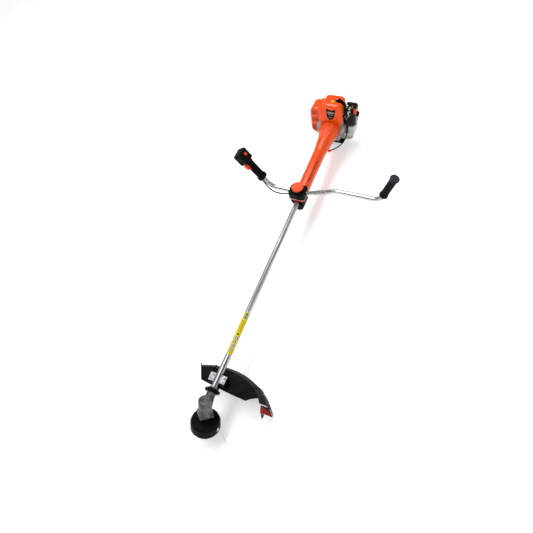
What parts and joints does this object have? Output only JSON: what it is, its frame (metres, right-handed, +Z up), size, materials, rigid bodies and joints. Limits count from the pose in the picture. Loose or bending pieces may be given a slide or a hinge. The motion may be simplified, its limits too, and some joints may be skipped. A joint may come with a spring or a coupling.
{
  "type": "string trimmer",
  "caption": "Petrol string trimmer: straight tube, angled gear case with line head and curved guard, swivelling bicycle handlebar with throttle grip, engine with tank and stand.",
  "frame": {"origin": "centre of the flat face under the tank's stand, below the engine", "axes": "+Y along the tube from the line head to the engine, +Z up, +X to the side of the air filter"},
  "size_m": [0.7585, 1.8238, 0.4424],
  "materials": {
    "tube_metal": "polished tube with drawn streaks",
    "cast_alloy": "as-cast, slightly rough",
    "steel": "ground and turned steel",
    "gear_steel": "hardened gear steel, oiled",
    "bearing_bronze": "sintered bush",
    "black_plastic": "moulded, fine grain",
    "gloss_black": "smooth glossy moulding",
    "orange_cover": "smooth moulded cover",
    "orange_small": "moulded control",
    "red_trim": "dark red moulding",
    "rubber": "soft black rubber",
    "tank_plastic": "translucent white, wrinkled inside",
    "line_nylon": "light grey extruded line",
    "filter_paper": "pleated filter medium",
    "sheath": "plastic cable sheath"
  },
  "bodies": {
    "engine_and_tube": {"main_tube": "tube_metal", "shaft_bushings": "bearing_bronze", "gear_case": "cast_alloy", "ball_bearings": "steel", "debris_guard": "black_plastic", "knife_cover": "red_trim", "line_knife": "steel", "guard_bracket": "black_plastic", "guard_clamp_plates": "cast_alloy", "handle_bracket": "black_plastic", "rear_housing": "orange_cover", "front_damper": "rubber", "fan_housing": "cast_alloy", "crankcase": "cast_alloy", "cylinder": "cast_alloy", "spark_plug": "steel", "ignition_module": "rubber", "starter_housing": "gloss_black", "engine_cover": "orange_cover", "muffler_cover": "orange_cover", "muffler": "steel", "carburettor": "cast_alloy", "filter_backplate": "black_plastic", "filter_element": "filter_paper", "filter_cover": "gloss_black", "fuel_tank": "tank_plastic", "tank_stand": "black_plastic", "rear_throttle_cable": "sheath", "cap_screws": "steel"},
    "drive_line": {"drive_shaft": "steel", "clutch_drum": "steel", "input_pinion": "gear_steel"},
    "line_head": {"output_gear": "gear_steel", "head_body": "black_plastic", "line_eyelets": "cast_alloy", "trimmer_line": "line_nylon"},
    "bump_button": {"bump_knob": "black_plastic", "line_spool": "orange_small", "head_spring": "steel"},
    "crank": {"crankshaft": "steel", "flywheel": "cast_alloy", "clutch_shoes": "gear_steel"},
    "piston_and_rod": {"piston": "cast_alloy", "connecting_rod": "steel"},
    "handlebar": {"handlebar_tube": "tube_metal", "bar_clamp": "black_plastic", "throttle_grip_left": "black_plastic", "throttle_grip_right": "black_plastic", "plain_grip": "rubber", "front_throttle_cable": "sheath"},
    "knob": {"clamp_knob": "orange_small"},
    "trigger": {"throttle_trigger": "orange_small"},
    "lockout": {"trigger_lockout": "orange_small"},
    "switch": {"stop_switch": "orange_small"},
    "reel": {"starter_reel": "black_plastic"},
    "pull": {"starter_handle": "black_plastic"},
    "primer": {"primer_bulb": "rubber"},
    "choke": {"choke_lever": "black_plastic"},
    "latch": {"filter_latch": "orange_small"},
    "cap": {"fuel_cap": "black_plastic"}
  },
  "joints": [
    {"name": "head_spin", "type": "hinge", "parent": "engine_and_tube", "child": "line_head", "pos_m": [0, -1.636, 0.118], "axis": [0, 0.515, 0.8572], "continuous": true},
    {"name": "shaft_spin", "type": "hinge", "parent": "engine_and_tube", "child": "drive_line", "pos_m": [0, -1.636, 0.118], "axis": [0, 1, 0], "continuous": true},
    {"name": "bump_press", "type": "slide", "parent": "line_head", "child": "bump_button", "axis": [0, 0.515, 0.8572], "range_m": [0, 0.006], "stiffness_N_per_m": 3000, "springref_m": -0.001},
    {"name": "crank_spin", "type": "hinge", "parent": "engine_and_tube", "child": "crank", "pos_m": [0, -1.636, 0.118], "axis": [0, 1, 0], "continuous": true},
    {"name": "piston_stroke", "type": "slide", "parent": "engine_and_tube", "child": "piston_and_rod", "axis": [0, 0, 1], "range_m": [0, 0.032]},
    {"name": "bar_swivel", "type": "hinge", "parent": "engine_and_tube", "child": "handlebar", "pos_m": [0, -0.56, 0.168], "axis": [0, 0, 1], "range_deg": [0, 90]},
    {"name": "knob_turn", "type": "hinge", "parent": "engine_and_tube", "child": "knob", "pos_m": [0, -0.56, 0.186], "axis": [0, 0, 1], "continuous": true},
    {"name": "trigger_pull", "type": "hinge", "parent": "handlebar", "child": "trigger", "pos_m": [-0.24566, -0.57, 0.3307], "axis": [0.8387, 0, 0.5446], "range_deg": [0, 18], "stiffness_Nm_per_rad": 0.12, "springref_deg": -5.73},
    {"name": "lockout_press", "type": "hinge", "parent": "handlebar", "child": "lockout", "pos_m": [-0.2522, -0.548, 0.34077], "axis": [-0.8387, 0, -0.5446], "range_deg": [0, 8], "stiffness_Nm_per_rad": 0.12, "springref_deg": -5.73},
    {"name": "stop_switch_slide", "type": "slide", "parent": "handlebar", "child": "switch", "axis": [-0.5446, 0, 0.8387], "range_m": [0, 0.004]},
    {"name": "starter_pull", "type": "slide", "parent": "engine_and_tube", "child": "pull", "axis": [0, 0, 1], "range_m": [0, 0.06], "stiffness_N_per_m": 60, "springref_m": -0.02},
    {"name": "starter_reel_spin", "type": "hinge", "parent": "engine_and_tube", "child": "reel", "pos_m": [0, 0.056, 0.118], "axis": [0, 1, 0], "range_deg": [0, 115.4]},
    {"name": "primer_press", "type": "slide", "parent": "engine_and_tube", "child": "primer", "axis": [0, 0, 1], "range_m": [0, 0.004], "stiffness_N_per_m": 400, "springref_m": -0.001},
    {"name": "choke_turn", "type": "hinge", "parent": "engine_and_tube", "child": "choke", "pos_m": [0.082, 0.034, 0.184], "axis": [1, 0, 0], "range_deg": [0, 40]},
    {"name": "filter_latch_turn", "type": "hinge", "parent": "engine_and_tube", "child": "latch", "pos_m": [0.129, -0.013, 0.192], "axis": [1, 0, 0], "continuous": true},
    {"name": "fuel_cap_turn", "type": "hinge", "parent": "engine_and_tube", "child": "cap", "pos_m": [-0.062, 0.047, 0.042], "axis": [0, 1, 0], "continuous": true}
  ],
  "couplings": [
    {"joint": "shaft_spin", "follows": "head_spin", "ratio": -1.3571},
    {"joint": "starter_reel_spin", "follows": "starter_pull", "rad_per_m": 33.278}
  ]
}
